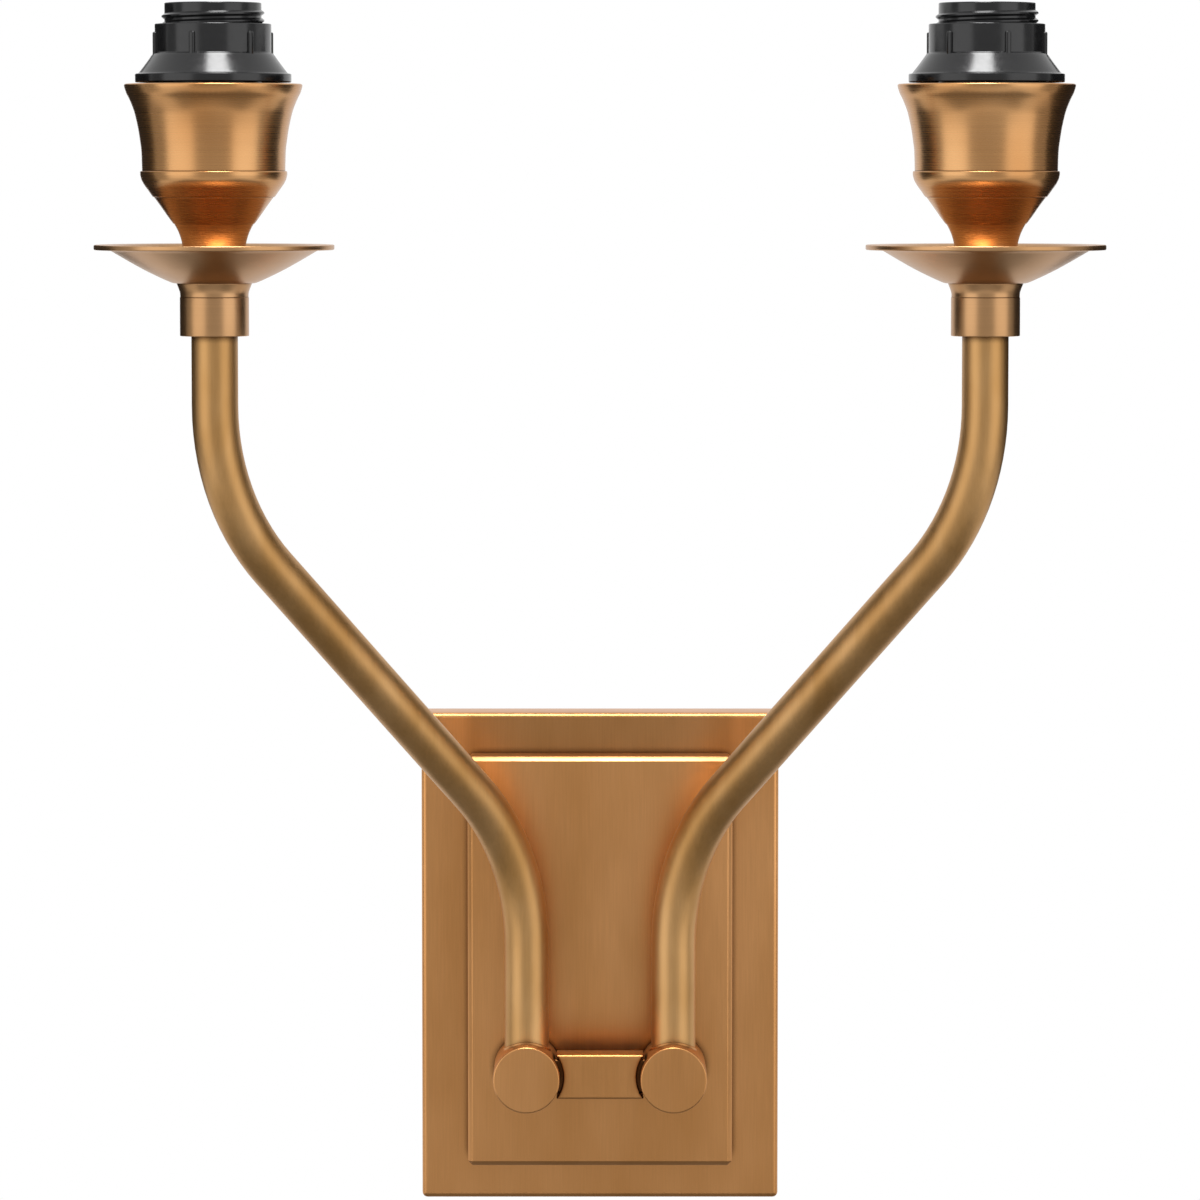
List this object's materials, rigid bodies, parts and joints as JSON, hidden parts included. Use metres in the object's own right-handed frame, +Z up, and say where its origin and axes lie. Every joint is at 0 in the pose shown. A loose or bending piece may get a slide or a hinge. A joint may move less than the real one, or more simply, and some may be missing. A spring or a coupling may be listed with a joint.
{
  "type": "double arm wall sconce",
  "caption": "Wall light with a rectangular stepped backplate, two bent tube arms on a crossbar, drip pans, flared cups and screw lampholders with shade rings.",
  "frame": {"origin": "centre of the wall strap's back face, on the wall and at the middle of the backplate", "axes": "+Y into the wall, +Z up, +X to the right seen from the front"},
  "size_m": [0.2754, 0.1362, 0.3441],
  "materials": {
    "satin_brass": "antiqued, brushed satin",
    "coppery_brass": "antiqued, lathe brushed",
    "bare_brass": "plain stamped",
    "zinc_steel": "zinc plated",
    "black_phenolic": "moulded, glossy",
    "white_nylon": "moulded",
    "flex_pvc": "extruded PVC"
  },
  "bodies": {
    "fixture": {"canopy_base": "satin_brass", "raised_panel": "satin_brass", "wall_strap": "zinc_steel", "earth_screw": "bare_brass", "terminal_block": "white_nylon", "terminal_screws": "bare_brass", "terminal_fixing_screw": "zinc_steel", "hub_nuts": "zinc_steel", "crossbar": "satin_brass", "lamp_nuts": "zinc_steel", "collar_left": "satin_brass", "collar_right": "satin_brass", "neck_ring_left": "satin_brass", "neck_ring_right": "satin_brass", "pan_left": "satin_brass", "pan_right": "satin_brass", "cup_foot_left": "coppery_brass", "cup_foot_right": "coppery_brass", "cup_band_left": "coppery_brass", "cup_band_right": "coppery_brass", "cup_shell_left": "coppery_brass", "cup_shell_right": "coppery_brass", "lamp_nipple_left": "zinc_steel", "lamp_nipple_right": "zinc_steel", "holder_cap_left": "black_phenolic", "holder_cap_right": "black_phenolic", "holder_barrel_left": "black_phenolic", "holder_barrel_right": "black_phenolic", "holder_core_left": "black_phenolic", "holder_core_right": "black_phenolic", "screw_shell_left": "bare_brass", "screw_shell_right": "bare_brass", "centre_contact_left": "bare_brass", "centre_contact_right": "bare_brass", "hub_left": "satin_brass", "hub_right": "satin_brass", "hub_nipple_left": "zinc_steel", "hub_nipple_right": "zinc_steel", "arm_tube_left": "satin_brass", "arm_tube_right": "satin_brass", "flex_left": "flex_pvc", "flex_right": "flex_pvc", "strap_ear_left": "zinc_steel", "strap_ear_right": "zinc_steel"},
    "shade_ring_left": {"shade_ring_left": "black_phenolic"},
    "shade_ring_right": {"shade_ring_right": "black_phenolic"},
    "side_screw_left": {"side_screw_left": "satin_brass"},
    "side_screw_right": {"side_screw_right": "satin_brass"}
  },
  "joints": [
    {"name": "shade_ring_left_turn", "type": "hinge", "parent": "fixture", "child": "shade_ring_left", "pos_m": [-0.105, -0.1035, 0.2616], "axis": [0, 0, 1], "continuous": true},
    {"name": "shade_ring_right_turn", "type": "hinge", "parent": "fixture", "child": "shade_ring_right", "pos_m": [0.105, -0.1035, 0.2616], "axis": [0, 0, 1], "continuous": true},
    {"name": "side_screw_left_turn", "type": "hinge", "parent": "fixture", "child": "side_screw_left", "pos_m": [-0.0518, -0.0075, 0], "axis": [-1, 0, 0], "continuous": true},
    {"name": "side_screw_right_turn", "type": "hinge", "parent": "fixture", "child": "side_screw_right", "pos_m": [0.0518, -0.0075, 0], "axis": [1, 0, 0], "continuous": true}
  ]
}
